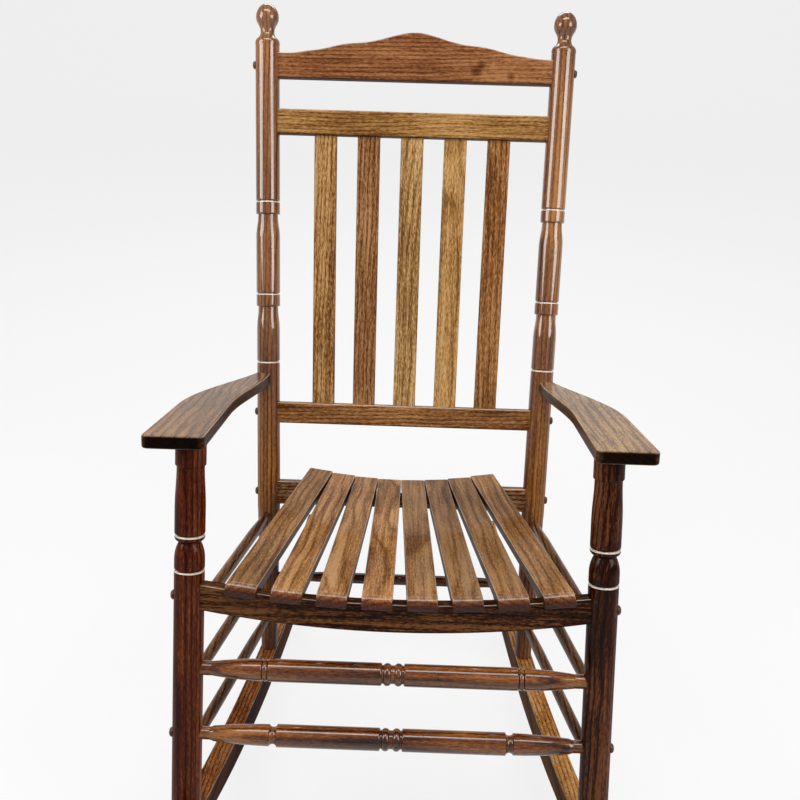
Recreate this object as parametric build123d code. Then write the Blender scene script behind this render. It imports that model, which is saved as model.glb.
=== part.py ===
from build123d import *
import math
import os

# Wooden rocking chair, in millimetres. X runs across the chair, Y from front to back, Z up, and the
# floor is Z = 0. It stands at rest, tilted back, on the lowest points of its two rockers.
# Left and right are as seen from the front. Heights along a leaning post, leg or board are stations,
# measured up the lean from a datum point on the axis of the post or leg.
FIT = 0.15

# Turned back posts
POST_SPACING = 476.8
POST_Y = 181.8
POST_HEIGHT = 391.2
POST_LEAN = 19.5
POST_SPLAY = 1.1
POST_RADIUS = 20.5
POST_LOWER_RADIUS = 19.9
POST_FOOT_RADIUS = 13.8
POST_FOOT_STATION = -366
POST_TAPER_STATION = -105
POST_LOW_RING = 154
POST_COLLARS = (250, 408)
POST_COLLAR_EDGE = 2.5
POST_NECK_RADIUS = 17.1
POST_NECK_LENGTH = 1
COLLAR_RING_RISE = 22.5
VASE_LENGTH = 38
SHOULDER_STATION = 690
SHOULDER_TOP_STATION = 702.5
SHOULDER_TOP_RADIUS = 15.2
SHOULDER_BULGE = 2.4
FINIAL_NECK_STATION = 712
FINIAL_NECK_RADIUS = 11.5
FINIAL_NECK_HOLLOW = 0.9
FINIAL_STATION = 735.5
FINIAL_RADIUS = 19.3
FINIAL_TOP_STATION = 758.5

# Turned front legs
LEG_SPACING = 558.4
LEG_Y = -240
LEG_HEIGHT = 420.7
LEG_LEAN = 17
LEG_SPLAY = 1.1
LEG_RADIUS = 20.5
LEG_FOOT_RADIUS = 15.5
LEG_FOOT_STATION = -342.6
LEG_FOOT_ROUNDING = 15
LEG_FOOT_BULGE = 2.2
LEG_LOW_RING = 13.8
LEG_BULB_STATION = 27
LEG_BULB_BULGE = 1.6
LEG_WAIST_STATION = 51.5
LEG_WAIST_RADIUS = 15
LEG_WAIST_LENGTH = 1.5
LEG_CUP_STATION = 59
LEG_CUP_BULGE = 1
LEG_HIGH_RING = 63
LEG_VASE_STATION = 100
LEG_NECK_STATION = 154
LEG_NECK_RADIUS = 18.4
LEG_COLLAR_STATION = 157
LEG_COLLAR_EDGE = 2
LEG_TENON_RADIUS = 11
LEG_TENON_LENGTH = 12

# Cut rings on posts and legs
RING_DEPTH = 2.2
RING_HALF_WIDTH = 2.6
RING_FLOOR_HALF_WIDTH = 0.5
RING_LIP_BULGE = 0.6

# Shares of a radius: the rise of a quarter round above its chord, and the handles of a round end
QUARTER_RISE = 0.29
ROUND_HANDLE = 0.55

# Rockers: boards on edge with an arc below, which touches the floor under the centre of mass.
# They toe in by the inset from the line through the two feet.
ROCKER_LOW_Y = 40
ROCKER_FLAT = 12
ROCKER_RADIUS = 1250
ROCKER_TOP_RADIUS = 1600
ROCKER_INSET = 4
ROCKER_WIDTH = 31
ROCKER_FRONT_Y = -445.2
ROCKER_REAR_Y = 430
ROCKER_TIP_RADIUS = 10
ROCKER_EDGE_RADIUS = 3
FOOT_TENON_RADIUS = 7.5
FOOT_TENON_LENGTH = 20
TENON_ROOT = 5
SOCKET_MOUTH = 60

# Arms: lengths run back along the slope from the front edge
ARM_FRONT_Y = -223.3
ARM_FRONT_HEIGHT = 629
ARM_SLOPE = 13.7
ARM_THICKNESS = 18
ARM_FRONT_INNER_X = 249.5
ARM_INNER_X = 254.5
ARM_INNER_LENGTH = 205
ARM_NECK_INNER_X = 235
ARM_NECK_LENGTH = 430
ARM_OUTER_X = 331
ARM_OUTER_LENGTH = 185
ARM_OUTER_CURVE = ((322, 262), (285.5, 372))
ARM_REAR_OUTER_X = 259
ARM_REAR_OUTER_SLOPE = -0.24
ARM_REAR_LENGTH = 455
ARM_CORNER_RADIUS = 10
ARM_EDGE_RADIUS = 3

# Boards of the back, and how far a board's end stops short of the axis of its post or leg
END_GAP = 6.5
BACK_RAIL_THICKNESS = 20
RAIL_EDGE_RADIUS = 3
CREST_STATION = 637
CREST_END_HEIGHT = 41
CREST_END_X = 228
UPPER_RAIL_STATION = 544
UPPER_RAIL_HEIGHT = 42
LOWER_RAIL_STATION = 46
LOWER_RAIL_HEIGHT = 36.5

# Half of the crest rail's wavy top edge: distance from the middle, station
CREST_TOP = ((188, 681.3), (151, 687.5), (122, 694.6), (87, 698.2), (46, 707.3), (0, 716.3))

# Slats of the back, which fan out a little towards the top
BACK_SLATS = 5
BACK_SLAT_WIDTH = 38.6
BACK_SLAT_THICKNESS = 9
BACK_SLAT_PITCH_LOW = 71.2
BACK_SLAT_PITCH_HIGH = 74.2
BACK_SLAT_TENON = 12
BACK_SLAT_EDGE_RADIUS = 2

# Rails of the seat
SEAT_RAIL_THICKNESS = 22
FRONT_RAIL_END_X = 258
FRONT_RAIL_TOP = -5.5
FRONT_RAIL_TOP_SAG = 17.7
FRONT_RAIL_BOTTOM = -42
FRONT_RAIL_BOTTOM_SAG = 21.4
REAR_RAIL_DISH_X = 172
REAR_RAIL_TOP = -58.5
REAR_RAIL_SAG = 18
REAR_RAIL_BOTTOM = -100
SIDE_RAIL_LEG_STATION = -64.5
SIDE_RAIL_POST_STATION = -118
SIDE_RAIL_RADIUS = 9

# Slats of the seat, which fan out towards the front and end in a rolled nose
SEAT_SLATS = 8
SEAT_SLAT_WIDTH = 41.6
SEAT_SLAT_THICKNESS = 15
SEAT_PITCH_FRONT = 60.3
SEAT_FRONT_SHIFT = 6
SEAT_PITCH_REAR = 43.7
SEAT_HOUSING = 0.9
SEAT_BED_CLEARANCE = 0.02
SEAT_REAR_OVERHANG = 34
NOSE_REACH = 20.5
NOSE_INNER = 13
NOSE_DROP = 4.5
NOSE_RADIUS = 11.5
NOSE_LIP_RADIUS = 2.5
SEAT_EDGE_RADIUS = 2

# Stretchers
UPPER_STRETCHER_STATION = -128
LOWER_STRETCHER_STATION = -224
STRETCHER_RADIUS = 15.4
STRETCHER_GROOVE_RADIUS = 12.5
STRETCHER_UPPER_END_RADIUS = 9.7
STRETCHER_LOWER_END_RADIUS = 8.7
STRETCHER_TAPER_END_X = 248
STRETCHER_TAPER_BULGE = 0.9
STRETCHER_BODY_X = 17
STRETCHER_LIP = 2.2
STRETCHER_LIP_BULGE = 0.7
MIDDLE_BEAD_X = (2.4, 13)
RING_BEAD_X = (171, 179)
RING_BEAD_BULGE = 2.5
RING_BEAD_LIP = 1.5
UPPER_TAPER_RADIUS = 15
COVE_X = (158, 169)
COVE_DEPTH = 3.6
LOWER_TAPER_RADIUS = 14.6
LOWER_TIP_X = (245, 252)
LOWER_TIP_RADIUS = 10.5
SIDE_STRETCHER_UPPER = (-157.5, -211)
SIDE_STRETCHER_LOWER = (-256, -308)
SIDE_STRETCHER_RADIUS = 8.7
REAR_STRETCHER_STATION = -235
REAR_STRETCHER_RADIUS = 9.5
ROUND_TENON_RADIUS = 7
ROUND_TENON_LENGTH = 22
AXIS_GAP = 4

# Bolts with barrel nuts, and screws
BOLT_RADIUS = 3
BOLT_CLEARANCE = 0.2
BOLT_HEAD_RADIUS = 6.8
BOLT_HEAD_RIM = 2
BOLT_HEAD_HEIGHT = 5
BOLT_CROWN_RADIUS = 3.5
BOLT_CROWN_BULGE = 0.6
BOLT_SOCKET_RADIUS = 2.9
BOLT_SOCKET_DEPTH = 2.5
BOLT_SEAT_DEPTH = 0.8
BOLT_PAST_NUT = 8
NUT_RADIUS = 5
NUT_LENGTH = 14
NUT_FROM_END = 36
SCREW_CLEARANCE = 0.1
SCREW_HEAD_RATIO = 2
SCREW_TIP_RATIO = 0.3
SCREW_POINT_RATIO = 3
SCREW_HEAD_HEIGHT = 3
SLAT_SCREW_RADIUS = 2
SLAT_SCREW_COUNTERBORE = 10
SLAT_SCREW_BITE = 8
ARM_SCREW_RADIUS = 2.5
ARM_SCREW_COUNTERBORE = 7
ARM_SCREW_BITE = 45
ARM_SCREW_SHIFT = 5
ROCKER_SCREW_RADIUS = 2.5
ROCKER_SCREW_COUNTERBORE = 8
ROCKER_SCREW_BITE = 24

os.makedirs("parts", exist_ok=True)


def axis_frame(x, y, z, lean, splay):
    """Frame of a right-hand post or leg: Z runs up its axis from the datum point."""
    up = Vector(math.tan(math.radians(splay)), math.tan(math.radians(lean)), 1).normalized()
    across = (Vector(1, 0, 0) - up * up.X).normalized()
    return Plane(origin=(x, y, z), x_dir=across, z_dir=up)


def board_frame(y, z, lean):
    """Frame of the boards between two posts or legs: X across, Y up the lean, Z to the front."""
    tilt = math.radians(lean)
    facing = (0, -math.cos(tilt), math.sin(tilt))
    return Plane(origin=(0, y, z), x_dir=(1, 0, 0), z_dir=facing)


POST = axis_frame(POST_SPACING / 2, POST_Y, POST_HEIGHT, POST_LEAN, POST_SPLAY)
LEG = axis_frame(LEG_SPACING / 2, LEG_Y, LEG_HEIGHT, LEG_LEAN, -LEG_SPLAY)
BACK = board_frame(POST_Y, POST_HEIGHT, POST_LEAN)
FRONT = board_frame(LEG_Y, LEG_HEIGHT, LEG_LEAN)


def at(frame, x, y, z):
    """Point given in the coordinates of a frame."""
    return frame.from_local_coords(Vector(x, y, z))


def axis_at(frame, height):
    """Point on the axis of a right-hand post or leg, at a station."""
    return at(frame, 0, 0, height)


def rod(start, end, radius):
    """Round rod from one point to another."""
    run = end - start
    upright = Cylinder(radius, run.length, align=(Align.CENTER, Align.CENTER, Align.MIN))
    return Plane(origin=start, z_dir=run.normalized()).location * upright


def mirrored(piece):
    """The left-hand twin of a right-hand piece."""
    return mirror(piece, about=Plane.YZ)


def pairs(pieces):
    """Right-hand pieces together with their left-hand twins."""
    return [twin for piece in pieces for twin in (piece, mirrored(piece))]


def write(name, *solids):
    """One file for a named piece, or for a group of like pieces."""
    shape = solids[0] if len(solids) == 1 else Compound(children=list(solids))
    export_step(shape, f"parts/{name}.step")


def write_pair(name, piece):
    """The right-hand piece and its left-hand twin, each in a file of its own."""
    write(f"{name}_right", piece)
    write(f"{name}_left", mirrored(piece))


class Lathe:
    """Half outline of a turned piece, drawn upward as (radius, height) steps and spun about Z."""

    def __init__(self, radius, height):
        self.base = height
        self.radius = radius
        self.height = height
        self.edges = [Line((0, height), (radius, height))]

    def reach(self, edge, radius, height):
        self.edges.append(edge)
        self.radius = radius
        self.height = height
        return self

    def line(self, radius, height):
        return self.reach(Line((self.radius, self.height), (radius, height)), radius, height)

    def arc(self, radius, height, bulge):
        """Arc that swells outward by the given rise, or inward where that is negative."""
        wide = radius - self.radius
        tall = height - self.height
        rise = bulge / math.hypot(wide, tall)
        middle = (self.radius + wide / 2 + rise * tall, self.height + tall / 2 - rise * wide)
        edge = ThreePointArc((self.radius, self.height), middle, (radius, height))
        return self.reach(edge, radius, height)

    def ogee(self, radius, height):
        """S-shaped sweep that leaves and arrives along the axis."""
        ends = ((self.radius, self.height), (radius, height))
        return self.reach(Spline(*ends, tangents=((0, 1), (0, 1))), radius, height)

    def dome(self, height):
        """Rounded end that closes on the axis."""
        side = (self.radius, self.height + ROUND_HANDLE * (height - self.height))
        crown = (ROUND_HANDLE * self.radius, height)
        return self.reach(Bezier((self.radius, self.height), side, crown, (0, height)), 0, height)

    def ring(self, height):
        """Cut ring with rounded lips."""
        full = self.radius
        floor = full - RING_DEPTH
        self.line(full, height - RING_HALF_WIDTH)
        self.arc(floor, height - RING_FLOOR_HALF_WIDTH, RING_LIP_BULGE)
        self.line(floor, height + RING_FLOOR_HALF_WIDTH)
        return self.arc(full, height + RING_HALF_WIDTH, RING_LIP_BULGE)

    def collar(self, radius, height, rise):
        """Step out to a collar with a rounded lower edge."""
        self.line(radius - rise, height)
        return self.arc(radius, height + rise, QUARTER_RISE * rise)

    def spin(self):
        """The solid, closed at its top and along the axis."""
        if self.radius > 0:
            self.line(0, self.height)
        self.edges.append(Line((0, self.height), (0, self.base)))
        return revolve(Plane.XZ * make_face(self.edges), Axis.Z)


def bar(frame, low, height, thickness, half, grow=0):
    """Straight board across the chair with rounded edges, or a socket for one when grown."""
    wide = thickness + 2 * grow
    section = RectangleRounded(height + 2 * grow, wide, RAIL_EDGE_RADIUS + grow)
    board = extrude(Plane.YZ * section, half + grow, both=True)
    return frame.location * Pos(0, low + height / 2, 0) * board


def sawn_board(frame, outline, thickness):
    """Board across the chair with a shaped outline and rounded long edges."""
    board = extrude(make_face(outline), thickness / 2, both=True)
    rims = board.faces().filter_by(Axis.Z).edges()
    long_rims = [edge for edge in rims if edge.bounding_box().size.X > 1]
    return frame.location * fillet(long_rims, RAIL_EDGE_RADIUS)


def arc_level(x, half, sag):
    """How far a sagging arc lies below its ends, at a distance from the middle."""
    radius = (half**2 + sag**2) / (2 * sag)
    return sag - radius + math.sqrt(radius**2 - min(abs(x), half) ** 2)


def round_rod(start, end, radius):
    """Round stretcher between two axes, which swells from its tenons to its middle."""
    run = end - start
    way = run.normalized()
    length = run.length - 2 * AXIS_GAP
    swell = ROUND_TENON_LENGTH + length / 5
    shape = Lathe(ROUND_TENON_RADIUS, 0).line(ROUND_TENON_RADIUS, ROUND_TENON_LENGTH)
    shape.ogee(radius, swell).line(radius, length - swell)
    shape.ogee(ROUND_TENON_RADIUS, length - ROUND_TENON_LENGTH).line(ROUND_TENON_RADIUS, length)
    return Plane(origin=start + way * AXIS_GAP, z_dir=way).location * shape.spin()


def round_socket(axis_point, toward, radius=ROUND_TENON_RADIUS, gap=AXIS_GAP):
    """Blind hole for a round tenon, which starts near the axis and runs outward."""
    way = (toward - axis_point).normalized()
    return rod(axis_point + way * (gap - FIT), axis_point + way * 2 * LEG_RADIUS, radius + FIT)


def wood_screw(tip, head, radius):
    """Countersunk screw from its tip to the top of its head."""
    run = head - tip
    shape = Lathe(radius * SCREW_TIP_RATIO, 0).line(radius, radius * SCREW_POINT_RATIO)
    shape.line(radius, run.length - SCREW_HEAD_HEIGHT).line(radius * SCREW_HEAD_RATIO, run.length)
    return Plane(origin=tip, z_dir=run.normalized()).location * shape.spin()


def screw_hole(tip, head, mouth, radius):
    """Hole for a screw, with a counterbore from its head out to the mouth."""
    back = (head - tip).normalized()
    shank = rod(tip - back * SCREW_CLEARANCE, head, radius + SCREW_CLEARANCE)
    sunk = head - back * (SCREW_HEAD_HEIGHT + SCREW_CLEARANCE)
    return shank + rod(sunk, mouth, radius * SCREW_HEAD_RATIO + SCREW_CLEARANCE)


# Where each board meets its post or leg: distance of the axis from the middle of the chair
crest_mid = CREST_STATION + CREST_END_HEIGHT / 2
upper_rail_mid = UPPER_RAIL_STATION + UPPER_RAIL_HEIGHT / 2
lower_rail_mid = LOWER_RAIL_STATION + LOWER_RAIL_HEIGHT / 2
rear_rail_mid = (REAR_RAIL_TOP + REAR_RAIL_BOTTOM) / 2
front_rail_mid = (FRONT_RAIL_TOP + FRONT_RAIL_BOTTOM) / 2
crest_end = axis_at(POST, crest_mid).X - END_GAP
upper_rail_end = axis_at(POST, upper_rail_mid).X - END_GAP
lower_rail_end = axis_at(POST, lower_rail_mid).X - END_GAP
rear_rail_end = axis_at(POST, rear_rail_mid).X - END_GAP
front_rail_end = axis_at(LEG, front_rail_mid).X - END_GAP
upper_stretcher_end = axis_at(LEG, UPPER_STRETCHER_STATION).X - END_GAP
lower_stretcher_end = axis_at(LEG, LOWER_STRETCHER_STATION).X - END_GAP

# Sockets for the boards' ends in a right-hand post and leg
rear_rail_height = REAR_RAIL_TOP - REAR_RAIL_BOTTOM
front_rail_height = FRONT_RAIL_TOP - FRONT_RAIL_BOTTOM
post_sockets = [
    bar(BACK, CREST_STATION, CREST_END_HEIGHT, BACK_RAIL_THICKNESS, crest_end, FIT),
    bar(BACK, UPPER_RAIL_STATION, UPPER_RAIL_HEIGHT, BACK_RAIL_THICKNESS, upper_rail_end, FIT),
    bar(BACK, LOWER_RAIL_STATION, LOWER_RAIL_HEIGHT, BACK_RAIL_THICKNESS, lower_rail_end, FIT),
    bar(BACK, REAR_RAIL_BOTTOM, rear_rail_height, SEAT_RAIL_THICKNESS, rear_rail_end, FIT),
]
leg_sockets = [
    bar(FRONT, FRONT_RAIL_BOTTOM, front_rail_height, SEAT_RAIL_THICKNESS, front_rail_end, FIT),
]

# Round rails and stretchers along the sides and the rear
side_runs = {
    "seat_side_rail": (SIDE_RAIL_LEG_STATION, SIDE_RAIL_POST_STATION, SIDE_RAIL_RADIUS),
    "side_stretcher_upper": (*SIDE_STRETCHER_UPPER, SIDE_STRETCHER_RADIUS),
    "side_stretcher_lower": (*SIDE_STRETCHER_LOWER, SIDE_STRETCHER_RADIUS),
}
for name, (leg_station, post_station, radius) in side_runs.items():
    leg_point = axis_at(LEG, leg_station)
    post_point = axis_at(POST, post_station)
    write_pair(name, round_rod(leg_point, post_point, radius))
    leg_sockets.append(round_socket(leg_point, post_point))
    post_sockets.append(round_socket(post_point, leg_point))

rear_point = axis_at(POST, REAR_STRETCHER_STATION)
rear_twin = Vector(-rear_point.X, rear_point.Y, rear_point.Z)
write("rear_stretcher", round_rod(rear_twin, rear_point, REAR_STRETCHER_RADIUS))
post_sockets.append(round_socket(rear_point, rear_twin))

# Turned front stretchers, drawn as their right-hand halves
for mid, tip in (
    (UPPER_STRETCHER_STATION, STRETCHER_UPPER_END_RADIUS),
    (LOWER_STRETCHER_STATION, STRETCHER_LOWER_END_RADIUS),
):
    leg_point = axis_at(LEG, mid)
    middle = Vector(0, leg_point.Y, leg_point.Z)
    leg_sockets.append(round_socket(leg_point, middle, tip, END_GAP))


def half_stretcher():
    """The bead and groove in the middle of a front stretcher, up to where its body starts."""
    start, stop = MIDDLE_BEAD_X
    shape = Lathe(STRETCHER_GROOVE_RADIUS, 0).line(STRETCHER_GROOVE_RADIUS, start)
    shape.arc(STRETCHER_GROOVE_RADIUS, stop, STRETCHER_RADIUS - STRETCHER_GROOVE_RADIUS)
    shape.line(STRETCHER_GROOVE_RADIUS, STRETCHER_BODY_X - STRETCHER_LIP)
    return shape.arc(STRETCHER_RADIUS, STRETCHER_BODY_X, STRETCHER_LIP_BULGE)


bead_start, bead_stop = RING_BEAD_X
upper_half = half_stretcher().line(STRETCHER_RADIUS, bead_start - RING_BEAD_LIP)
upper_half.arc(STRETCHER_GROOVE_RADIUS, bead_start, STRETCHER_LIP_BULGE)
upper_half.arc(STRETCHER_GROOVE_RADIUS, bead_stop, RING_BEAD_BULGE)
upper_half.arc(UPPER_TAPER_RADIUS, bead_stop + RING_BEAD_LIP, STRETCHER_LIP_BULGE)
upper_half.arc(STRETCHER_UPPER_END_RADIUS, STRETCHER_TAPER_END_X, STRETCHER_TAPER_BULGE)
upper_half.line(STRETCHER_UPPER_END_RADIUS, upper_stretcher_end)
cove_start, cove_stop = COVE_X
tip_start, tip_stop = LOWER_TIP_X
lower_half = half_stretcher().line(STRETCHER_RADIUS, cove_start)
lower_half.arc(LOWER_TAPER_RADIUS, cove_stop, -COVE_DEPTH)
lower_half.arc(LOWER_TIP_RADIUS, tip_start, STRETCHER_TAPER_BULGE)
lower_half.ogee(STRETCHER_LOWER_END_RADIUS, tip_stop)
lower_half.line(STRETCHER_LOWER_END_RADIUS, lower_stretcher_end)


def across(half, mid):
    """Whole turned stretcher from its right-hand half, at a station of the front legs."""
    whole = half.spin()
    whole = whole + mirror(whole, about=Plane.XY)
    return FRONT.location * Pos(0, mid, 0) * Rot(0, 90, 0) * whole


upper_stretcher = across(upper_half, UPPER_STRETCHER_STATION)
lower_stretcher = across(lower_half, LOWER_STRETCHER_STATION)

# Boards across the back
half_crest = [(CREST_END_X, CREST_STATION + CREST_END_HEIGHT), *CREST_TOP]
crest_wave = half_crest + [(-x, height) for x, height in reversed(half_crest[:-1])]
crest_low = CREST_STATION
crest_high = CREST_STATION + CREST_END_HEIGHT
crest_outline = [
    Line((-crest_end, crest_high), (-crest_end, crest_low)),
    Line((-crest_end, crest_low), (crest_end, crest_low)),
    Line((crest_end, crest_low), (crest_end, crest_high)),
    Line((crest_end, crest_high), (CREST_END_X, crest_high)),
    Spline(*crest_wave, tangents=((-1, 0), (-1, 0))),
    Line((-CREST_END_X, crest_high), (-crest_end, crest_high)),
]
crest_rail = sawn_board(BACK, crest_outline, BACK_RAIL_THICKNESS)
upper_rail = bar(BACK, UPPER_RAIL_STATION, UPPER_RAIL_HEIGHT, BACK_RAIL_THICKNESS, upper_rail_end)
lower_rail = bar(BACK, LOWER_RAIL_STATION, LOWER_RAIL_HEIGHT, BACK_RAIL_THICKNESS, lower_rail_end)


def back_slat(place, grow=0):
    """Slat of the back, by its place counted from the middle, or a socket for one when grown."""
    lower_rail_top = LOWER_RAIL_STATION + LOWER_RAIL_HEIGHT
    low = Vector(place * BACK_SLAT_PITCH_LOW, lower_rail_top - BACK_SLAT_TENON)
    high = Vector(place * BACK_SLAT_PITCH_HIGH, UPPER_RAIL_STATION + BACK_SLAT_TENON)
    run = high - low
    wide = BACK_SLAT_WIDTH + 2 * grow
    section = RectangleRounded(wide, BACK_SLAT_THICKNESS + 2 * grow, BACK_SLAT_EDGE_RADIUS + grow)
    foot = Plane(origin=low, x_dir=(run.Y, -run.X, 0), z_dir=run.normalized())
    board = extrude(section, run.length / 2 + grow, both=True)
    return BACK.location * foot.location * Pos(0, 0, run.length / 2) * board


slat_places = [index - (BACK_SLATS - 1) / 2 for index in range(BACK_SLATS)]
for number, place in enumerate(slat_places, 1):
    write(f"back_slat_{number}", back_slat(place))
slat_sockets = [back_slat(place, FIT) for place in slat_places]
upper_rail = upper_rail - slat_sockets
lower_rail = lower_rail - slat_sockets

# Rails of the seat, each with a dished top
front_outline = [
    Line((-front_rail_end, FRONT_RAIL_TOP), (-front_rail_end, FRONT_RAIL_BOTTOM)),
    Line((-front_rail_end, FRONT_RAIL_BOTTOM), (-FRONT_RAIL_END_X, FRONT_RAIL_BOTTOM)),
    ThreePointArc(
        (-FRONT_RAIL_END_X, FRONT_RAIL_BOTTOM),
        (0, FRONT_RAIL_BOTTOM - FRONT_RAIL_BOTTOM_SAG),
        (FRONT_RAIL_END_X, FRONT_RAIL_BOTTOM),
    ),
    Line((FRONT_RAIL_END_X, FRONT_RAIL_BOTTOM), (front_rail_end, FRONT_RAIL_BOTTOM)),
    Line((front_rail_end, FRONT_RAIL_BOTTOM), (front_rail_end, FRONT_RAIL_TOP)),
    Line((front_rail_end, FRONT_RAIL_TOP), (FRONT_RAIL_END_X, FRONT_RAIL_TOP)),
    ThreePointArc(
        (FRONT_RAIL_END_X, FRONT_RAIL_TOP),
        (0, FRONT_RAIL_TOP - FRONT_RAIL_TOP_SAG),
        (-FRONT_RAIL_END_X, FRONT_RAIL_TOP),
    ),
    Line((-FRONT_RAIL_END_X, FRONT_RAIL_TOP), (-front_rail_end, FRONT_RAIL_TOP)),
]
front_rail = sawn_board(FRONT, front_outline, SEAT_RAIL_THICKNESS)
rear_outline = [
    Line((-rear_rail_end, REAR_RAIL_TOP), (-rear_rail_end, REAR_RAIL_BOTTOM)),
    Line((-rear_rail_end, REAR_RAIL_BOTTOM), (rear_rail_end, REAR_RAIL_BOTTOM)),
    Line((rear_rail_end, REAR_RAIL_BOTTOM), (rear_rail_end, REAR_RAIL_TOP)),
    Line((rear_rail_end, REAR_RAIL_TOP), (REAR_RAIL_DISH_X, REAR_RAIL_TOP)),
    ThreePointArc(
        (REAR_RAIL_DISH_X, REAR_RAIL_TOP),
        (0, REAR_RAIL_TOP - REAR_RAIL_SAG),
        (-REAR_RAIL_DISH_X, REAR_RAIL_TOP),
    ),
    Line((-REAR_RAIL_DISH_X, REAR_RAIL_TOP), (-rear_rail_end, REAR_RAIL_TOP)),
]
rear_rail = sawn_board(BACK, rear_outline, SEAT_RAIL_THICKNESS)


def front_x(place):
    """Where a slat crosses the front rail, by its place counted from the middle."""
    return place * SEAT_PITCH_FRONT + SEAT_FRONT_SHIFT


def front_seat_point(place):
    """Point on the front rail's top, where a slat crosses it."""
    x = front_x(place)
    return at(FRONT, x, FRONT_RAIL_TOP - arc_level(x, FRONT_RAIL_END_X, FRONT_RAIL_TOP_SAG), 0)


def rear_seat_point(place):
    """Point on the rear rail's top, where a slat crosses it."""
    x = place * SEAT_PITCH_REAR
    return at(BACK, x, REAR_RAIL_TOP - arc_level(x, REAR_RAIL_DISH_X, REAR_RAIL_SAG), 0)


def slat_frame(place):
    """Frame of a seat slat: X along its nose, Y to the rear, Z up, on the front rail's top."""
    front_slope = 2 * FRONT_RAIL_TOP_SAG * front_x(place) / FRONT_RAIL_END_X**2
    rear_slope = 2 * REAR_RAIL_SAG * place * SEAT_PITCH_REAR / REAR_RAIL_DISH_X**2
    nose = Vector(1, 0, (front_slope + rear_slope) / 2).normalized()
    up = nose.cross(rear_seat_point(place) - front_seat_point(place)).normalized()
    return Plane(origin=front_seat_point(place), x_dir=nose, z_dir=up)


def seat_slat(place):
    """Slat of the seat, by its place counted from the middle."""
    frame = slat_frame(place)
    rear = frame.to_local_coords(rear_seat_point(place))
    fan = rear.X / rear.Y
    stop = rear.Y + SEAT_REAR_OVERHANG
    low = -SEAT_HOUSING
    top = SEAT_SLAT_THICKNESS - SEAT_HOUSING
    profile = Polyline(
        (-NOSE_REACH, top),
        (-NOSE_REACH, -NOSE_DROP),
        (-NOSE_INNER, -NOSE_DROP),
        (-NOSE_INNER, low),
        (stop, low),
        (stop, top),
        close=True,
    )
    face = make_face(profile)
    corners = face.vertices().sort_by(Axis.X)
    face = fillet(corners[:2].sort_by(Axis.Y)[-1], NOSE_RADIUS)
    face = fillet(face.vertices().sort_by(Axis.Y)[:2], NOSE_LIP_RADIUS)
    side = extrude(Plane.YZ * face, 2 * SEAT_SLAT_WIDTH + abs(fan) * stop, both=True)
    half = SEAT_SLAT_WIDTH / 2 * math.hypot(1, fan)
    ahead = -2 * NOSE_REACH
    behind = stop + NOSE_REACH
    plan = Polyline(
        (fan * ahead - half, ahead),
        (fan * ahead + half, ahead),
        (fan * behind + half, behind),
        (fan * behind - half, behind),
        close=True,
    )
    board = side & extrude(make_face(plan), 2 * SEAT_SLAT_THICKNESS, both=True)
    top_edges = board.edges().filter_by(lambda edge: edge.center().Z > low / 2)
    long_edges = [edge for edge in top_edges if edge.length > stop / 2]
    return frame.location * fillet(long_edges, SEAT_EDGE_RADIUS)


def slat_bed(place):
    """The wood above a slat's underside, which is cut from the rails to give the slat a flat bed."""
    frame = slat_frame(place)
    rear = frame.to_local_coords(rear_seat_point(place))
    wide = SEAT_SLAT_WIDTH + 2 * FIT
    turn = -math.degrees(math.atan2(rear.X, rear.Y))
    long = 3 * rear.Y
    block = Box(wide, long, 3 * SEAT_SLAT_THICKNESS, align=(Align.CENTER, Align.CENTER, Align.MIN))
    return frame.location * Rot(0, 0, turn) * Pos(0, 0, -SEAT_HOUSING - SEAT_BED_CLEARANCE) * block


seat_places = [index - (SEAT_SLATS - 1) / 2 for index in range(SEAT_SLATS)]
seat_slats = [seat_slat(place) for place in seat_places]
beds = [slat_bed(place) for place in seat_places]
front_rail = front_rail - beds
rear_rail = rear_rail - beds

# Screws that hold the seat slats from below
slat_screws = []
slat_holes = []
for place in seat_places:
    nose_x = front_x(place)
    front_low = FRONT_RAIL_BOTTOM - arc_level(nose_x, FRONT_RAIL_END_X, FRONT_RAIL_BOTTOM_SAG)
    rear_x = place * SEAT_PITCH_REAR
    for frame, x, low, top in (
        (FRONT, nose_x, front_low, FRONT.to_local_coords(front_seat_point(place)).Y),
        (BACK, rear_x, REAR_RAIL_BOTTOM, BACK.to_local_coords(rear_seat_point(place)).Y),
    ):
        tip = at(frame, x, top + SLAT_SCREW_BITE, 0)
        head = at(frame, x, low + SLAT_SCREW_COUNTERBORE, 0)
        mouth = at(frame, x, low - SLAT_SCREW_COUNTERBORE, 0)
        slat_screws.append(wood_screw(tip, head, SLAT_SCREW_RADIUS))
        slat_holes.append(screw_hole(tip, head, mouth, SLAT_SCREW_RADIUS))
front_rail = front_rail - slat_holes
rear_rail = rear_rail - slat_holes
for number, slat in enumerate(seat_slats, 1):
    pair = slat_holes[2 * number - 2 : 2 * number]
    write(f"seat_slat_{number}", slat - pair)
write("slat_screws", *slat_screws)

# Bolts through posts and legs into barrel nuts
bolt_seats = []
bolt_holes = []
nut_holes = []
bolts = []
nuts = []


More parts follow.
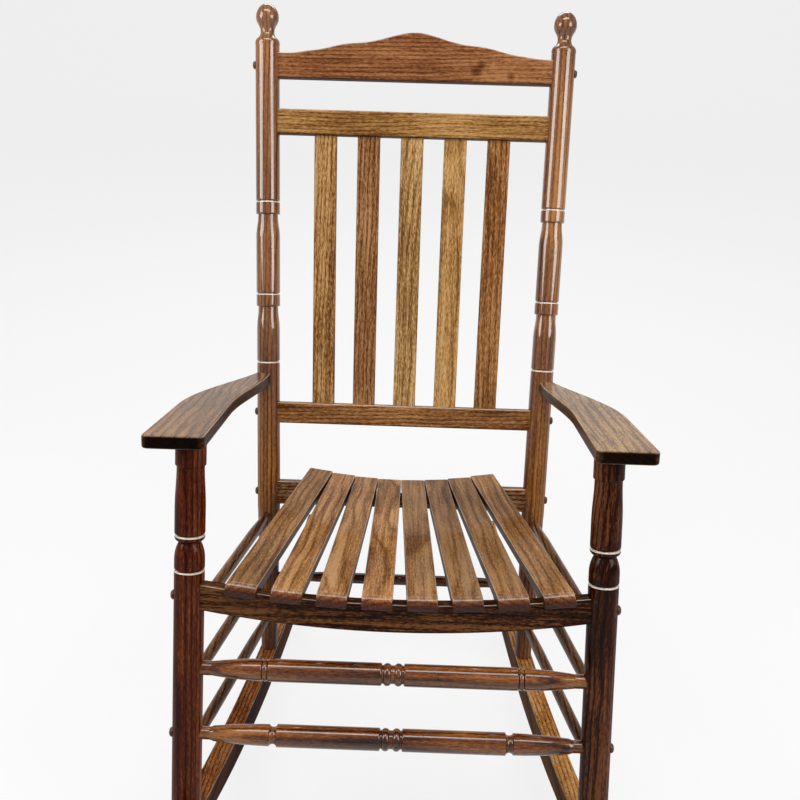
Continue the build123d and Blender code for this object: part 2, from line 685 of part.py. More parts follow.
def add_bolt(frame, mid, end, surface):
    """A bolt across the chair at a station, its barrel nut, and the holes for both."""
    nut_x = end - NUT_FROM_END
    tip = at(frame, nut_x - BOLT_PAST_NUT, mid, 0)
    seat_x = surface - BOLT_SEAT_DEPTH
    shape = Lathe(BOLT_RADIUS, nut_x - BOLT_PAST_NUT).line(BOLT_RADIUS, seat_x)
    shape.line(BOLT_HEAD_RADIUS, seat_x).line(BOLT_HEAD_RADIUS, seat_x + BOLT_HEAD_RIM)
    shape.arc(BOLT_CROWN_RADIUS, seat_x + BOLT_HEAD_HEIGHT, BOLT_CROWN_BULGE)
    socket = extrude(RegularPolygon(BOLT_SOCKET_RADIUS, 6), BOLT_SOCKET_DEPTH)
    bolt = shape.spin() - Pos(0, 0, seat_x + BOLT_HEAD_HEIGHT - BOLT_SOCKET_DEPTH) * socket
    lay = frame.location * Pos(0, mid, 0) * Rot(0, 90, 0)
    bolts.append(lay * bolt)
    out = at(frame, surface + BOLT_HEAD_RADIUS, mid, 0)
    bolt_holes.append(rod(tip - Vector(FIT, 0, 0), out, BOLT_RADIUS + BOLT_CLEARANCE))
    bolt_seats.append(rod(at(frame, seat_x, mid, 0), out, BOLT_HEAD_RADIUS + BOLT_CLEARANCE))
    drum = Cylinder(NUT_RADIUS, NUT_LENGTH)
    bore = Rot(0, 90, 0) * Cylinder(BOLT_RADIUS + BOLT_CLEARANCE / 2, 4 * NUT_RADIUS)
    seat = frame.location * Pos(nut_x, mid, 0)
    nuts.append(seat * (drum - bore))
    deep = 2 * STRETCHER_RADIUS
    well = Cylinder(NUT_RADIUS + FIT, deep, align=(Align.CENTER, Align.CENTER, Align.MAX))
    nut_holes.append(seat * Pos(0, 0, NUT_LENGTH / 2 + FIT) * well)


add_bolt(BACK, crest_mid, crest_end, crest_end + END_GAP + POST_RADIUS)
add_bolt(BACK, lower_rail_mid, lower_rail_end, lower_rail_end + END_GAP + POST_LOWER_RADIUS)
add_bolt(BACK, rear_rail_mid, rear_rail_end, rear_rail_end + END_GAP + POST_LOWER_RADIUS)
add_bolt(FRONT, front_rail_mid, front_rail_end, front_rail_end + END_GAP + LEG_RADIUS)
lower_stretcher_face = lower_stretcher_end + END_GAP + LEG_RADIUS
add_bolt(FRONT, LOWER_STRETCHER_STATION, lower_stretcher_end, lower_stretcher_face)
write("frame_bolts", *pairs(bolts))
write("barrel_nuts", *pairs(nuts))
fittings = bolt_holes + bolt_seats
drilled = pairs(bolt_holes + nut_holes)

# Boards and stretchers with their bolt holes
write("crest_rail", crest_rail - drilled)
write("upper_back_rail", upper_rail)
write("lower_back_rail", lower_rail - drilled)
write("rear_seat_rail", rear_rail - drilled)
write("front_seat_rail", front_rail - drilled)
write("front_stretcher_upper", upper_stretcher)
write("front_stretcher_lower", lower_stretcher - drilled)

# Rockers, drawn in the upright plane through the two feet of one side
leg_foot = axis_at(LEG, LEG_FOOT_STATION)
post_foot = axis_at(POST, POST_FOOT_STATION)
foot_run = post_foot - leg_foot + Vector(ROCKER_INSET, 0, 0)
rocker_way = Vector(foot_run.X, foot_run.Y, 0).normalized()
low_point = post_foot + rocker_way * ((ROCKER_LOW_Y - post_foot.Y) / rocker_way.Y)
ROCKER = Plane(
    origin=(low_point.X, low_point.Y, 0), x_dir=rocker_way, z_dir=rocker_way.cross(Vector(0, 0, 1))
)
front_seat = ROCKER.to_local_coords(leg_foot)
rear_seat = ROCKER.to_local_coords(post_foot)
chord = rear_seat - front_seat
climb = Vector(-chord.Y, chord.X, 0).normalized()
chord_to_centre = math.sqrt(ROCKER_TOP_RADIUS**2 - (chord.length / 2) ** 2)
top_centre = (front_seat + rear_seat) / 2 + climb * chord_to_centre


def top_point(length):
    """Point on the rocker's top arc, by its length from the lowest point."""
    return (length, top_centre.Y - math.sqrt(ROCKER_TOP_RADIUS**2 - (length - top_centre.X) ** 2))


def low_arc_point(length):
    """Point on the rocker's underside, by its length from the middle of its short flat."""
    past_flat = max(abs(length) - ROCKER_FLAT / 2, 0)
    return (length, ROCKER_RADIUS - math.sqrt(ROCKER_RADIUS**2 - past_flat**2))


front_tip = (ROCKER_FRONT_Y - ROCKER_LOW_Y) / rocker_way.Y
rear_tip = (ROCKER_REAR_Y - ROCKER_LOW_Y) / rocker_way.Y
rocker_outline = [
    ThreePointArc(low_arc_point(front_tip), low_arc_point(front_tip / 2), (-ROCKER_FLAT / 2, 0)),
    Line((-ROCKER_FLAT / 2, 0), (ROCKER_FLAT / 2, 0)),
    ThreePointArc((ROCKER_FLAT / 2, 0), low_arc_point(rear_tip / 2), low_arc_point(rear_tip)),
    Line(low_arc_point(rear_tip), top_point(rear_tip)),
    ThreePointArc(top_point(rear_tip), top_point(0), top_point(front_tip)),
    Line(top_point(front_tip), low_arc_point(front_tip)),
]
rocker_face = make_face(rocker_outline)
tips = [corner for corner in rocker_face.vertices() if corner.Y > ROCKER_WIDTH]
rocker_face = fillet(tips, ROCKER_TIP_RADIUS)
rocker_board = extrude(rocker_face, ROCKER_WIDTH / 2, both=True)
rocker_board = fillet(rocker_board.faces().filter_by(Axis.Z).edges(), ROCKER_EDGE_RADIUS)
rocker = ROCKER.location * rocker_board


def sole(seat):
    """Plane of a foot's sole, just above the rocker's top, from a seat in the rocker's frame."""
    normal = (top_centre - Vector(seat.X, seat.Y, 0)).normalized()
    up = rocker_way * normal.X + Vector(0, 0, normal.Y)
    return Plane(origin=at(ROCKER, seat.X, seat.Y, 0) + up * FIT, z_dir=up)


def foot_joint(frame, foot_station):
    """Tenon below a foot, its socket in the rocker, and the screw that holds it, with its hole."""
    up = frame.z_dir
    foot = axis_at(frame, foot_station)
    tenon_tip = foot - up * FOOT_TENON_LENGTH
    tenon = rod(tenon_tip, foot + up * TENON_ROOT, FOOT_TENON_RADIUS)
    socket = rod(tenon_tip - up * FIT, foot + up * SOCKET_MOUTH, FOOT_TENON_RADIUS + FIT)
    below = foot.Z / up.Z
    floor_side = ROCKER.to_local_coords(foot - up * below).X
    depth = (foot.Z - low_arc_point(floor_side)[1]) / up.Z
    head = foot - up * (depth - ROCKER_SCREW_COUNTERBORE)
    mouth = foot - up * (depth + 2 * ROCKER_SCREW_COUNTERBORE)
    tip = foot + up * ROCKER_SCREW_BITE
    screw = wood_screw(tip, head, ROCKER_SCREW_RADIUS)
    hole = screw_hole(tip, head, mouth, ROCKER_SCREW_RADIUS)
    return tenon, socket, screw, hole


post_tenon, post_socket, post_screw, post_hole = foot_joint(POST, POST_FOOT_STATION)
leg_tenon, leg_socket, leg_screw, leg_hole = foot_joint(LEG, LEG_FOOT_STATION)
rocker = rocker - [post_socket, leg_socket, post_hole, leg_hole]
write_pair("rocker", rocker)
write("rocker_screws", *pairs([post_screw, leg_screw]))

# Arms, which sit on the front legs and are coped to the back posts
arm_tilt = math.radians(ARM_SLOPE)
ARM = Plane(
    origin=(0, ARM_FRONT_Y, ARM_FRONT_HEIGHT),
    x_dir=(1, 0, 0),
    z_dir=(0, math.sin(arm_tilt), math.cos(arm_tilt)),
)
arm_inner = Spline(
    (ARM_INNER_X, ARM_INNER_LENGTH),
    (ARM_NECK_INNER_X, ARM_NECK_LENGTH),
    tangents=((0, 1), (0, 1)),
)
arm_outer = Spline(
    (ARM_OUTER_X, ARM_OUTER_LENGTH),
    *ARM_OUTER_CURVE,
    (ARM_REAR_OUTER_X, ARM_REAR_LENGTH),
    tangents=((0, 1), (ARM_REAR_OUTER_SLOPE, 1)),
)
arm_outline = [
    Line((ARM_FRONT_INNER_X, 0), (ARM_INNER_X, ARM_INNER_LENGTH)),
    arm_inner,
    Line((ARM_NECK_INNER_X, ARM_NECK_LENGTH), (ARM_NECK_INNER_X, ARM_REAR_LENGTH)),
    Line((ARM_NECK_INNER_X, ARM_REAR_LENGTH), (ARM_REAR_OUTER_X, ARM_REAR_LENGTH)),
    arm_outer,
    Line((ARM_OUTER_X, ARM_OUTER_LENGTH), (ARM_OUTER_X, 0)),
    Line((ARM_OUTER_X, 0), (ARM_FRONT_INNER_X, 0)),
]
arm_face = make_face(arm_outline)
arm_face = fillet(arm_face.vertices().sort_by(Axis.Y)[:2], ARM_CORNER_RADIUS)
arm_board = extrude(arm_face, -ARM_THICKNESS)
arm_board = fillet(arm_board.faces().filter_by(Axis.Z).edges(), ARM_EDGE_RADIUS)
arm = ARM.location * arm_board

arm_core = at(ARM, 0, 0, -ARM_THICKNESS / 2)
arm_station = (arm_core - POST.origin).dot(ARM.z_dir) / POST.z_dir.dot(ARM.z_dir)
arm_meet = axis_at(POST, arm_station) + Vector(ARM_SCREW_SHIFT, 0, 0)
arm_back = ARM.y_dir
post_depth = POST_LOWER_RADIUS / arm_back.dot(BACK.z_dir * -1)
arm_screw_tip = arm_meet - arm_back * (post_depth + ARM_SCREW_BITE)
arm_screw_head = arm_meet + arm_back * (post_depth - ARM_SCREW_COUNTERBORE)
arm_screw_mouth = arm_meet + arm_back * 2 * post_depth
arm_screw = wood_screw(arm_screw_tip, arm_screw_head, ARM_SCREW_RADIUS)
arm_hole = screw_hole(arm_screw_tip, arm_screw_head, arm_screw_mouth, ARM_SCREW_RADIUS)
write("arm_screws", *pairs([arm_screw]))

arm_under = at(ARM, 0, 0, -ARM_THICKNESS)
leg_top_station = (arm_under - LEG.origin).dot(ARM.z_dir) / LEG.z_dir.dot(ARM.z_dir)
leg_top = axis_at(LEG, leg_top_station)
leg_up = LEG.z_dir
tenon_top = leg_top + leg_up * LEG_TENON_LENGTH
arm_tenon = rod(leg_top - leg_up * TENON_ROOT, tenon_top, LEG_TENON_RADIUS)
arm_socket = rod(leg_top - leg_up * SOCKET_MOUTH, tenon_top + leg_up * FIT, LEG_TENON_RADIUS + FIT)
cope_low = axis_at(POST, arm_station - SOCKET_MOUTH)
cope_high = axis_at(POST, arm_station + SOCKET_MOUTH)
arm_cope = rod(cope_low, cope_high, POST_LOWER_RADIUS + FIT)
write_pair("arm", arm - [arm_cope, arm_socket, arm_hole])

# Turned back posts
outline = Lathe(POST_FOOT_RADIUS, POST_FOOT_STATION - FOOT_TENON_LENGTH)
outline.line(POST_LOWER_RADIUS, POST_TAPER_STATION).ring(POST_LOW_RING)
for collar in POST_COLLARS:
    outline.line(outline.radius, collar - VASE_LENGTH)
    outline.ogee(POST_NECK_RADIUS, collar - POST_NECK_LENGTH).line(POST_NECK_RADIUS, collar)
    outline.collar(POST_RADIUS, collar, POST_COLLAR_EDGE).ring(collar + COLLAR_RING_RISE)
outline.line(POST_RADIUS, SHOULDER_STATION)
outline.arc(SHOULDER_TOP_RADIUS, SHOULDER_TOP_STATION, SHOULDER_BULGE)
outline.arc(FINIAL_NECK_RADIUS, FINIAL_NECK_STATION, -FINIAL_NECK_HOLLOW)
outline.ogee(FINIAL_RADIUS, FINIAL_STATION).dome(FINIAL_TOP_STATION)
post = split(POST.location * outline.spin(), bisect_by=sole(rear_seat), keep=Keep.TOP)
post = post + post_tenon
write_pair("back_post", post - post_sockets - fittings - [post_hole, arm_hole])

# Turned front legs
outline = Lathe(LEG_FOOT_RADIUS, LEG_FOOT_STATION - FOOT_TENON_LENGTH)
outline.line(LEG_FOOT_RADIUS, LEG_FOOT_STATION)
outline.arc(LEG_RADIUS, LEG_FOOT_STATION + LEG_FOOT_ROUNDING, LEG_FOOT_BULGE).ring(LEG_LOW_RING)
outline.line(LEG_RADIUS, LEG_BULB_STATION)
outline.arc(LEG_WAIST_RADIUS, LEG_WAIST_STATION, LEG_BULB_BULGE)
outline.line(LEG_WAIST_RADIUS, LEG_WAIST_STATION + LEG_WAIST_LENGTH)
outline.arc(LEG_RADIUS, LEG_CUP_STATION, LEG_CUP_BULGE).ring(LEG_HIGH_RING)
outline.line(LEG_RADIUS, LEG_VASE_STATION).ogee(LEG_NECK_RADIUS, LEG_NECK_STATION)
outline.line(LEG_NECK_RADIUS, LEG_COLLAR_STATION)
outline.collar(LEG_RADIUS, LEG_COLLAR_STATION, LEG_COLLAR_EDGE)
outline.line(LEG_RADIUS, leg_top_station + 2 * LEG_TENON_LENGTH)
leg = split(LEG.location * outline.spin(), bisect_by=sole(front_seat), keep=Keep.TOP)
arm_base = Plane(origin=arm_under - ARM.z_dir * FIT, z_dir=ARM.z_dir)
leg = split(leg, bisect_by=arm_base, keep=Keep.BOTTOM)
leg = leg + [leg_tenon, arm_tenon]
write_pair("front_leg", leg - leg_sockets - fittings - [leg_hole])
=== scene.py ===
import math

import bpy
from mathutils import Matrix, Vector

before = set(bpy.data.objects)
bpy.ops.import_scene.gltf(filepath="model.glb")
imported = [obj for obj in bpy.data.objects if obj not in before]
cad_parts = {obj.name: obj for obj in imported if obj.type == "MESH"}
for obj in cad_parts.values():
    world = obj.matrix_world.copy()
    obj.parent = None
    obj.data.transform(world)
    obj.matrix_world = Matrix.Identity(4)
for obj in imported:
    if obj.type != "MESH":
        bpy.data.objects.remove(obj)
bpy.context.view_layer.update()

# Rockers: two long bowed boards on edge that carry the whole chair.
# Each is sawn from a plank of stained hardwood, glued and screwed to two feet, then lacquered.


class Tone:
    """A socket in a material: sums on it add Math nodes, and node() adds any other node."""

    def __init__(self, socket):
        self.socket = socket
        self.tree = socket.id_data

    def node(self, kind, settings, sockets, output=None):
        made = self.tree.nodes.new("ShaderNode" + kind)
        for name, value in settings.items():
            if name == "stops":
                elements = made.color_ramp.elements
                elements.remove(elements[1])
                elements[0].position, elements[0].color = value[0]
                for position, shade in value[1:]:
                    elements.new(position).color = shade
            else:
                setattr(made, name, value)
        open_inputs = [entry for entry in made.inputs if entry.enabled]
        for place, value in sockets.items():
            entry = open_inputs[place] if isinstance(place, int) else made.inputs[place]
            if isinstance(value, Tone):
                self.tree.links.new(value.socket, entry)
            else:
                entry.default_value = value
        if output:
            return Tone(made.outputs[output])
        return Tone([way_out for way_out in made.outputs if way_out.enabled][0])

    def feed(self, entry):
        """Links this socket to an input of the material's shader."""
        self.tree.links.new(self.socket, entry)

    def math(self, operation, first, second):
        return self.node("Math", {"operation": operation}, {0: first, 1: second})

    def __add__(self, other):
        return self.math("ADD", self, other)

    def __radd__(self, other):
        return self.math("ADD", other, self)

    def __sub__(self, other):
        return self.math("SUBTRACT", self, other)

    def __rsub__(self, other):
        return self.math("SUBTRACT", other, self)

    def __mul__(self, other):
        return self.math("MULTIPLY", self, other)

    def __rmul__(self, other):
        return self.math("MULTIPLY", other, self)

    def __truediv__(self, other):
        return self.math("DIVIDE", self, other)

    def __rtruediv__(self, other):
        return self.math("DIVIDE", other, self)

    def __pow__(self, other):
        return self.math("POWER", self, other)

    def __rpow__(self, other):
        return self.math("POWER", other, self)


def colour(red, green, blue):
    """A colour from its eight-bit screen values."""
    parts = [value / 255 for value in (red, green, blue)]
    return (*[part / 12.92 if part < 0.04 else ((part + 0.055) / 1.055) ** 2.4 for part in parts], 1)


def dot(vector, axis):
    """How far a vector runs along a fixed axis."""
    return vector.node("VectorMath", {"operation": "DOT_PRODUCT"}, {0: vector, 1: axis})


def grain_noise(grain, lengthwise_count, crosswise_count, detail):
    """Noise drawn out along the grain, about zero, with so many features per metre along and across it."""
    along, across, through = grain
    stretched = {0: along * lengthwise_count, 1: across * crosswise_count, 2: through * crosswise_count}
    place = along.node("CombineXYZ", {}, stretched)
    return along.node("TexNoise", {}, {"Vector": place, "Scale": 1.0, "Detail": detail, "Roughness": 0.6}) - 0.5


def wash(base, paint, share, blend="MIX"):
    """Lays a fixed colour over a stain by a share that changes over the surface."""
    return base.node("Mix", {"data_type": "RGBA", "blend_type": blend}, {0: share, 1: base, 2: paint})


def lacquered_wood(
    name,
    way,
    seed,
    shades,
    face=None,
    rolled=False,
    streak=1.0,
    speckle=1.0,
    gloss=1.0,
    ends=(0.5, 0.5, 0.5, 1),
    cuts=(),
    seat=None,
    knots=(),
):
    """Stained, lacquered hardwood: grain along a direction, painted shade on the sides round a board's face,
    painted highlights on upper edges and cut rings.
    """
    material = bpy.data.materials.new(name)
    material.use_nodes = True
    shader = material.node_tree.nodes["Principled BSDF"]
    start = Tone(shader.outputs["BSDF"])
    coords = start.node("TexCoord", {}, {}, "Object")
    normal = start.node("NewGeometry", {}, {}, "Normal")

    # Each piece is cut from its own place in the tree.
    lengthwise = Vector(way).normalized()
    crosswise = lengthwise.cross(Vector((0.31, 0.2, 0.93))).normalized()
    along = dot(coords, lengthwise)
    across = dot(coords, crosswise)
    through = dot(coords, lengthwise.cross(crosswise))
    grain = (along + seed * 0.731, across + seed * 0.173, through + seed * 0.119)

    clouds = grain_noise(grain, 4, 7, 2)
    streaks = grain_noise(grain, 2.5, 90, 3)
    mottle = grain_noise(grain, 11, 330, 3)
    fibres = grain_noise(grain, 130, 620, 2)

    # Growth rings round a pith that lies outside the piece, each with a thin dark late edge.
    pith_depth = 0.06
    ring_width = 0.0034
    bend = clouds * 0.018 + along * 0.02
    radius = ((across + bend) ** 2 + (through + bend + pith_depth) ** 2) ** 0.5
    rings = radius.math("PINGPONG", radius, ring_width) / ring_width
    late_wood = 0.25 - rings**3

    shade = 0.5 + (fibres * 1.0 + mottle * 0.75) * speckle + streaks * 0.6 * streak + clouds * 0.6
    shade = shade + late_wood * (0.2 + streaks * 0.5)
    # Below the seat the colour is painted darker: painted shade under the seat.
    if seat:
        shade = shade + shade.math("MINIMUM", along - seat, 0.0) * 0.5
    for spot, size in knots:
        reach = coords.node("VectorMath", {"operation": "DISTANCE"}, {0: coords, 1: spot}) / size
        shade = shade - shade.math("MAXIMUM", 1 - reach, 0.0) * (0.3 + mottle * 2 + fibres * 2)
    dark, middle, light = [colour(*part) for part in shades]
    pore = (*[part * 0.45 for part in dark[:3]], 1)
    stops = [(0.12, pore), (0.32, dark), (0.5, middle), (0.7, light)]
    stain = shade.node("ValToRGB", {"stops": stops}, {0: shade})

    # End grain drinks more stain, the sides of a board get painted shade, and upper edges and cut rings get
    # painted highlights.
    end_grain = dot(normal, lengthwise) ** 2
    stain = wash(stain, ends, end_grain, "MULTIPLY")
    painted_highlight = colour(232, 220, 206)
    side_shade_colour = (0.16, 0.1, 0.08, 1)
    if face:
        square = dot(normal, Vector(face).normalized()) ** 2
        upward = dot(normal, (0, 0, 1))
        # Painted shade: the sides round a board's face are darkened, less where they turn upward.
        painted_side_shade = (1 - square) * (0.9 - upward.math("MAXIMUM", upward, 0.0))
        stain = wash(stain, side_shade_colour, painted_side_shade, "MULTIPLY")
        # Painted highlight: a pale line along the board's rounded edges, strongest where they face up.
        painted_rim_highlight = (square * (1 - square) * 4) ** 5 * (1 - end_grain * 2)
        stain = wash(stain, painted_highlight, painted_rim_highlight * (upward * 1.5 - 0.3) * (0.55 + mottle))
    lip_drop = 0.0014
    lip_reach = 0.0011
    # Painted highlight on the lip of each cut ring, where it would catch the light from above.
    for cut in cuts:
        lip_highlight = along.node("Math", {"operation": "COMPARE"}, {0: along, 1: cut - lip_drop, 2: lip_reach})
        stain = wash(stain, painted_highlight, lip_highlight * (0.8 + mottle))

    relief = fibres + rings * 0.2
    pores = relief.node("Bump", {}, {"Height": relief, "Strength": 0.12, "Distance": 0.0004})
    stain.feed(shader.inputs["Base Color"])
    (0.42 + fibres * 0.5).feed(shader.inputs["Roughness"])
    pores.feed(shader.inputs["Normal"])
    shader.inputs["Specular IOR Level"].default_value = 0.1 * gloss
    shader.inputs["Coat Weight"].default_value = gloss
    shader.inputs["Coat Roughness"].default_value = 0.06
    shader.inputs["Coat IOR"].default_value = 1.6
    if face:
        polished = square + end_grain if rolled else square
        (polished * gloss).feed(shader.inputs["Coat Weight"])
    if seat:
        rising = {0: along - seat, 1: 4.0, 2: 0.3}
        rubbed = along.node("Math", {"operation": "MULTIPLY_ADD", "use_clamp": True}, rising)
        rubbed.math("MAXIMUM", rubbed, 0.2).feed(shader.inputs["Coat Weight"])
    return material


def dress(node, material):
    """Gives a piece its material."""
    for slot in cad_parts[node].material_slots:
        slot.material = material


rocker_toe = 0.13
rocker_rise = 0.12
rocker_planks = {
    "left": (rocker_toe, ((64, 29, 10), (134, 77, 36), (180, 126, 80))),
    "right": (-rocker_toe, ((106, 58, 21), (192, 130, 66), (230, 182, 122))),
}
for side, (toe, shades) in rocker_planks.items():
    plank = lacquered_wood(
        f"rocker_wood_{side}",
        (toe, 1, rocker_rise),
        3 + toe,
        shades,
        (0, 0, 1),
        streak=0.5,
        speckle=0.6,
        gloss=0.05,
    )
    dress(f"rocker_{side}", plank)

# Front legs: turned between centres, with two cut rings, a bulb and a collar.
# Dark stained hardwood, tenoned into the rockers below and into the arms above.

splay = math.tan(math.radians(1.1))
leg_lean = math.tan(math.radians(17))
leg_at_seat = (0.2792, -0.24, 0.4207)
leg_cuts = (0.0138, 0.063)
leg_shades = {
    "left": ((42, 9, 1), (88, 33, 9), (140, 80, 40)),
    "right": ((18, 3, 0), (49, 16, 4), (116, 68, 36)),
}
outward = {"left": -1, "right": 1}
for side, out in outward.items():
    axis = Vector((-out * splay, leg_lean, 1)).normalized()
    seat_height = axis.dot((out * leg_at_seat[0], *leg_at_seat[1:]))
    turned = lacquered_wood(
        f"leg_wood_{side}",
        axis,
        8 + out,
        leg_shades[side],
        streak=0.6,
        speckle=0.5,
        gloss=0.15,
        cuts=[seat_height + height for height in leg_cuts],
    )
    dress(f"front_leg_{side}", turned)

# Back posts: the longest turnings, with two collars, three cut rings and a ball finial.
# Stained hardwood, tenoned into the rockers, with the boards of the back housed between them.

post_lean = math.tan(math.radians(19.5))
post_at_seat = (0.2384, 0.1818, 0.3912)
post_cuts = (0.154, 0.2725, 0.4305)
post_shades = ((78, 36, 9), (124, 75, 31), (166, 114, 62))
for side, out in outward.items():
    axis = Vector((out * splay, post_lean, 1)).normalized()
    seat_height = axis.dot((out * post_at_seat[0], *post_at_seat[1:]))
    turned = lacquered_wood(
        f"post_wood_{side}",
        axis,
        12 + out,
        post_shades,
        streak=0.6,
        speckle=0.5,
        cuts=[seat_height + height for height in post_cuts],
        seat=seat_height,
    )
    dress(f"back_post_{side}", turned)

# Stretchers: two turned ones with beads in front, plain round ones along the sides and the rear.
# Stained hardwood, with round tenons glued into the legs and posts.

level_way = (1, 0, 0)
stretcher_shades = ((40, 10, 1), (106, 54, 15), (164, 105, 50))
for number, height in enumerate(("upper", "lower")):
    turned = lacquered_wood(
        f"stretcher_wood_{height}", level_way, 15 + number, stretcher_shades, streak=0.4, speckle=0.5, gloss=0.8
    )
    dress(f"front_stretcher_{height}", turned)
side_way = (0, 1, -0.15)
round_shades = ((48, 22, 7), (90, 53, 25), (146, 102, 62))
for side in outward:
    dowel = lacquered_wood(
        f"side_rail_wood_{side}", side_way, 18 + len(side), round_shades, streak=0.5, speckle=0.6, gloss=0.4
    )
    for dowel_piece in ("seat_side_rail", "side_stretcher_upper", "side_stretcher_lower"):
        dress(f"{dowel_piece}_{side}", dowel)
rear_dowel = lacquered_wood("rear_stretcher_wood", level_way, 20, leg_shades["right"], streak=0.6, gloss=0.4)
dress("rear_stretcher", rear_dowel)

# Seat rails: the bowed front rail and the dished rear rail that carry the slats.
# Sawn from dark, streaky boards, housed in the legs and posts and drawn up with bolts.

front_rail_shades = ((24, 6, 0), (70, 33, 11), (122, 78, 42))
rear_rail_shades = ((46, 20, 6), (98, 60, 32), (150, 108, 74))
front_face = (0, -1, leg_lean)
back_face = (0, -1, post_lean)
front_board = lacquered_wood(
    "front_rail_wood", level_way, 21, front_rail_shades, front_face, streak=0.8, gloss=0.12
)
dress("front_seat_rail", front_board)
rear_board = lacquered_wood("rear_rail_wood", level_way, 22, rear_rail_shades, back_face, gloss=0.4)
dress("rear_seat_rail", rear_board)

# Seat slats: eight fanned boards with rolled noses, laid across the two seat rails.
# Golden brown flat-sawn hardwood, screwed from below; each board took the stain a little differently.

seat_shades = ((89, 54, 23), (136, 93, 52), (178, 135, 90))
stain_strengths = (0.96, 1.08, 1.05, 1.16, 0.92, 0.87, 0.89, 1.0)
nose_stain = (0.5, 0.22, 0.22, 1)
seat_slope = 0.2
fan_step = 0.041
middle_slat = (len(stain_strengths) + 1) / 2
for number, strength in enumerate(stain_strengths, 1):
    slat = lacquered_wood(
        f"seat_slat_wood_{number}",
        (fan_step * (middle_slat - number), 1, -seat_slope),
        23 + number,
        [[strength * part for part in shade] for shade in seat_shades],
        (0, seat_slope, 1),
        rolled=True,
        streak=0.7,
        speckle=0.7,
        gloss=0.4,
        ends=nose_stain,
    )
    dress(f"seat_slat_{number}", slat)

# Boards of the back: lower and upper rail, five slats between them, and the wavy crest rail.
# Sawn hardwood of mixed colour, the slats mortised into the rails and the rails housed in the posts.

slat_shades = (
    ((98, 57, 20), (144, 101, 53), (186, 144, 92)),
    ((92, 50, 18), (132, 88, 47), (170, 126, 85)),
    ((116, 78, 36), (158, 120, 71), (200, 163, 110)),
    ((128, 86, 38), (166, 124, 71), (202, 158, 102)),
    ((94, 49, 14), (132, 85, 41), (172, 126, 78)),
)
for number, shades in enumerate(slat_shades, 1):
    slat = lacquered_wood(
        f"back_slat_wood_{number}", (0, post_lean, 1), 33 + number, shades, back_face, streak=0.7, gloss=0.35
    )
    dress(f"back_slat_{number}", slat)
crest_knots = (
    ((0.104, 0.39, 1.014), 0.012),
    ((0.113, 0.393, 1.023), 0.009),
    ((0.163, 0.385, 1.007), 0.01),
)
back_rails = {
    "lower_back_rail": (((88, 46, 13), (134, 87, 42), (178, 130, 84)), ()),
    "upper_back_rail": (((98, 58, 17), (144, 102, 50), (180, 138, 86)), ()),
    "crest_rail": (((90, 44, 15), (126, 77, 40), (160, 110, 70)), crest_knots),
}
for number, (rail, (shades, spots)) in enumerate(back_rails.items()):
    board = lacquered_wood(
        f"{rail}_wood",
        level_way,
        41 + number,
        shades,
        back_face,
        streak=0.6,
        speckle=0.8,
        gloss=0.35,
        knots=spots,
    )
    dress(rail, board)

# Arms: wide flat paddles that sit on the front legs and are coped to the back posts.
# Flat-sawn boards, held by a hidden tenon in front and a screw from behind.

arm_slope = math.tan(math.radians(13.7))
# The arms' front ends are nearly black: end grain takes more stain, and the rest is painted shade.
end_stain_and_shade = (0.05, 0.03, 0.03, 1)
arm_shades = {
    "left": ((58, 33, 14), (104, 67, 33), (150, 108, 64)),
    "right": ((78, 50, 24), (132, 95, 53), (180, 140, 92)),
}
for side, shades in arm_shades.items():
    board = lacquered_wood(
        f"arm_wood_{side}",
        (0, 1, -arm_slope),
        45,
        shades,
        (0, arm_slope, 1),
        streak=0.6,
        gloss=0.45,
        ends=end_stain_and_shade,
    )
    dress(f"arm_{side}", board)

# Fasteners: bolts with domed heads, barrel nuts and countersunk screws.
# Steel with a brown oxide finish, a little brighter where it is rubbed.

oxide_steel = bpy.data.materials.new("brown_oxide_steel")
oxide_steel.use_nodes = True
shader = oxide_steel.node_tree.nodes["Principled BSDF"]
start = Tone(shader.outputs["BSDF"])
coords = start.node("TexCoord", {}, {}, "Object")
rubbing = coords.node("TexNoise", {}, {"Vector": coords, "Scale": 700.0, "Detail": 3.0})
oxide_stops = [(0.35, colour(64, 50, 42)), (0.7, colour(112, 90, 74))]
oxide = rubbing.node("ValToRGB", {"stops": oxide_stops}, {0: rubbing})
oxide.feed(shader.inputs["Base Color"])
(0.28 + rubbing * 0.25).feed(shader.inputs["Roughness"])
shader.inputs["Metallic"].default_value = 0.85
for fastener in ("frame_bolts", "barrel_nuts", "slat_screws", "arm_screws", "rocker_screws"):
    dress(fastener, oxide_steel)

# Studio paper: one pale sheet that runs back along the floor and sweeps up behind the chair.
# Matt white paper, laid loose, which shows its own white and keeps part of the chair's shadow.


def shown_rays(start):
    """One for rays from the camera, a mirror or glass, and zero for the light that bounces about."""
    camera, glossy, clear = [
        start.node("LightPath", {}, {}, f"Is {ray} Ray") for ray in ("Camera", "Glossy", "Transmission")
    ]
    return camera + glossy + clear


sheet_width = 14
sheet_front = -7
sheet_bend = 6
sheet_radius = 1
sheet_top = 1.15
sweep_steps = 16
sweep = [(sheet_front, 0)]
for step in range(sweep_steps + 1):
    turn = math.radians(90 * step / sweep_steps)
    sweep.append((sheet_bend + sheet_radius * math.sin(turn), sheet_radius * (1 - math.cos(turn))))
sweep.append((sheet_bend + sheet_radius, sheet_top))
corners = [(side * sheet_width / 2, y, z) for y, z in sweep for side in (-1, 1)]
strips = [(2 * k, 2 * k + 1, 2 * k + 3, 2 * k + 2) for k in range(len(sweep) - 1)]
paper_mesh = bpy.data.meshes.new("studio_paper")
paper_mesh.from_pydata(corners, [], strips)
sheet = bpy.data.objects.new("studio_paper", paper_mesh)
bpy.context.scene.collection.objects.link(sheet)

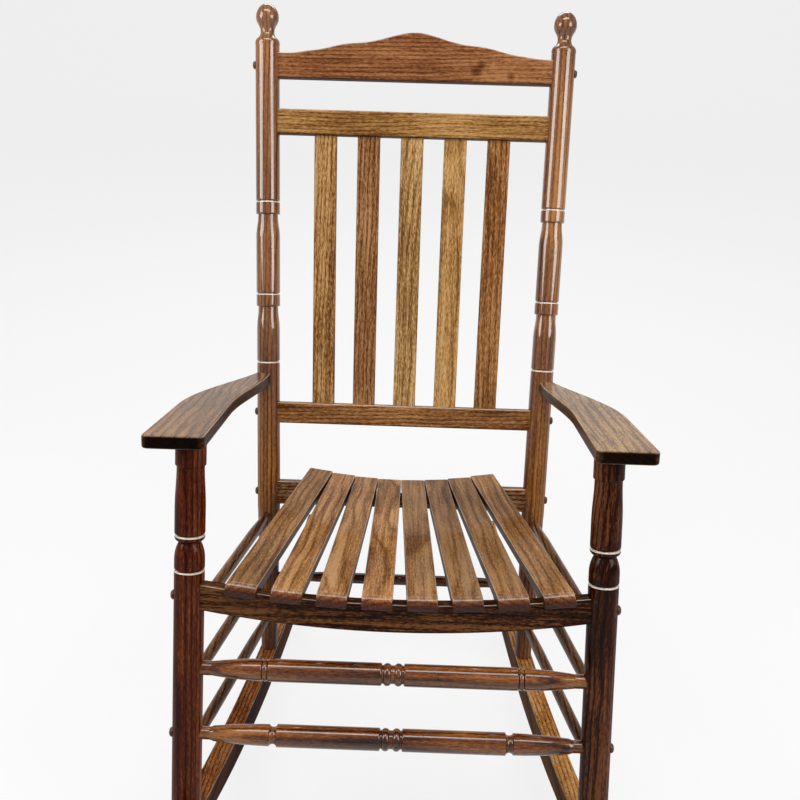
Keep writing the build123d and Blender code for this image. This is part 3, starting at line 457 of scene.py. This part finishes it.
white = colour(250, 250, 250)
bounce_grey = colour(190, 190, 190)
glow_share = 0.88
paper = bpy.data.materials.new("pale_paper")
paper.use_nodes = True
paper_nodes = paper.node_tree.nodes
start = Tone(paper_nodes["Principled BSDF"].outputs["BSDF"])
bare = start.node("BsdfDiffuse", {}, {"Color": bounce_grey})
shaded = start.node("BsdfDiffuse", {}, {"Color": white})
glow = start.node("Emission", {}, {"Color": white, "Strength": 1.0})
pale = start.node("MixShader", {}, {0: glow_share, 1: shaded, 2: glow})
surface = start.node("MixShader", {}, {0: shown_rays(start), 1: bare, 2: pale})
surface.feed(paper_nodes["Material Output"].inputs["Surface"])
paper_nodes.remove(paper_nodes["Principled BSDF"])
paper_mesh.materials.append(paper)

# Light: a strip overhead, a tall panel on each side in front and a wide one behind, in a dim room.
# Plain white cloth over frames, hung so that each turning takes a long highlight on both sides.

room_fill = 0.1
room_shown = 0.35
room = bpy.data.worlds.new("dim_room")
room.use_nodes = True
bpy.context.scene.world = room
background = room.node_tree.nodes["Background"]
background.inputs["Color"].default_value = white
rays = shown_rays(Tone(background.outputs["Background"]))
(room_fill + rays * room_shown).feed(background.inputs["Strength"])


def softbox(name, place, aim, size, power):
    """Rectangular studio light that faces a point."""
    lamp = bpy.data.lights.new(name, "AREA")
    lamp.shape = "RECTANGLE"
    lamp.size, lamp.size_y = size
    lamp.energy = power
    holder = bpy.data.objects.new(name, lamp)
    holder.location = place
    holder.rotation_euler = (Vector(aim) - Vector(place)).to_track_quat("-Z", "Y").to_euler()
    bpy.context.scene.collection.objects.link(holder)


panel_aim = (0, 0.2, 0.9)
panel_size = (1.05, 1.4)
panel_power = 32
softbox("overhead_strip", (0, -0.4, 3.2), (0, 0, 0.5), (2.2, 0.7), 35)
softbox("left_panel", (-1.8, -0.5, 1.75), panel_aim, panel_size, panel_power)
softbox("right_panel", (1.6, -0.9, 1.75), panel_aim, panel_size, panel_power)
softbox("rear_panel", (0, 2.4, 2.6), (0, 0.2, 0.7), (2.0, 0.9), 30)

# Camera: stands close in front of the chair, a little above its back, and looks down at it.
# It leans a little to one side, so the chair stands slightly turned in the picture.

camera_place = (0.0127, -1.2287, 1.1813)
lens_pixels = 906.4
image_pixels = 800
yaw = math.radians(-0.79)
pitch = math.radians(26)
roll = math.radians(1.54)
forward = Vector((math.sin(yaw) * math.cos(pitch), math.cos(yaw) * math.cos(pitch), -math.sin(pitch)))
level = Vector((math.cos(yaw), -math.sin(yaw), 0))
down = forward.cross(level)
right = math.cos(roll) * level - math.sin(roll) * down
up = -math.sin(roll) * level - math.cos(roll) * down
lens = bpy.data.cameras.new("camera")
lens.sensor_width = 36
lens.lens = lens.sensor_width * lens_pixels / image_pixels
camera = bpy.data.objects.new("camera", lens)
camera_turn = Matrix((right, up, -forward)).transposed().to_4x4()
camera.matrix_world = Matrix.Translation(camera_place) @ camera_turn
bpy.context.scene.collection.objects.link(camera)
bpy.context.scene.camera = camera
bpy.context.scene.view_settings.view_transform = "Standard"
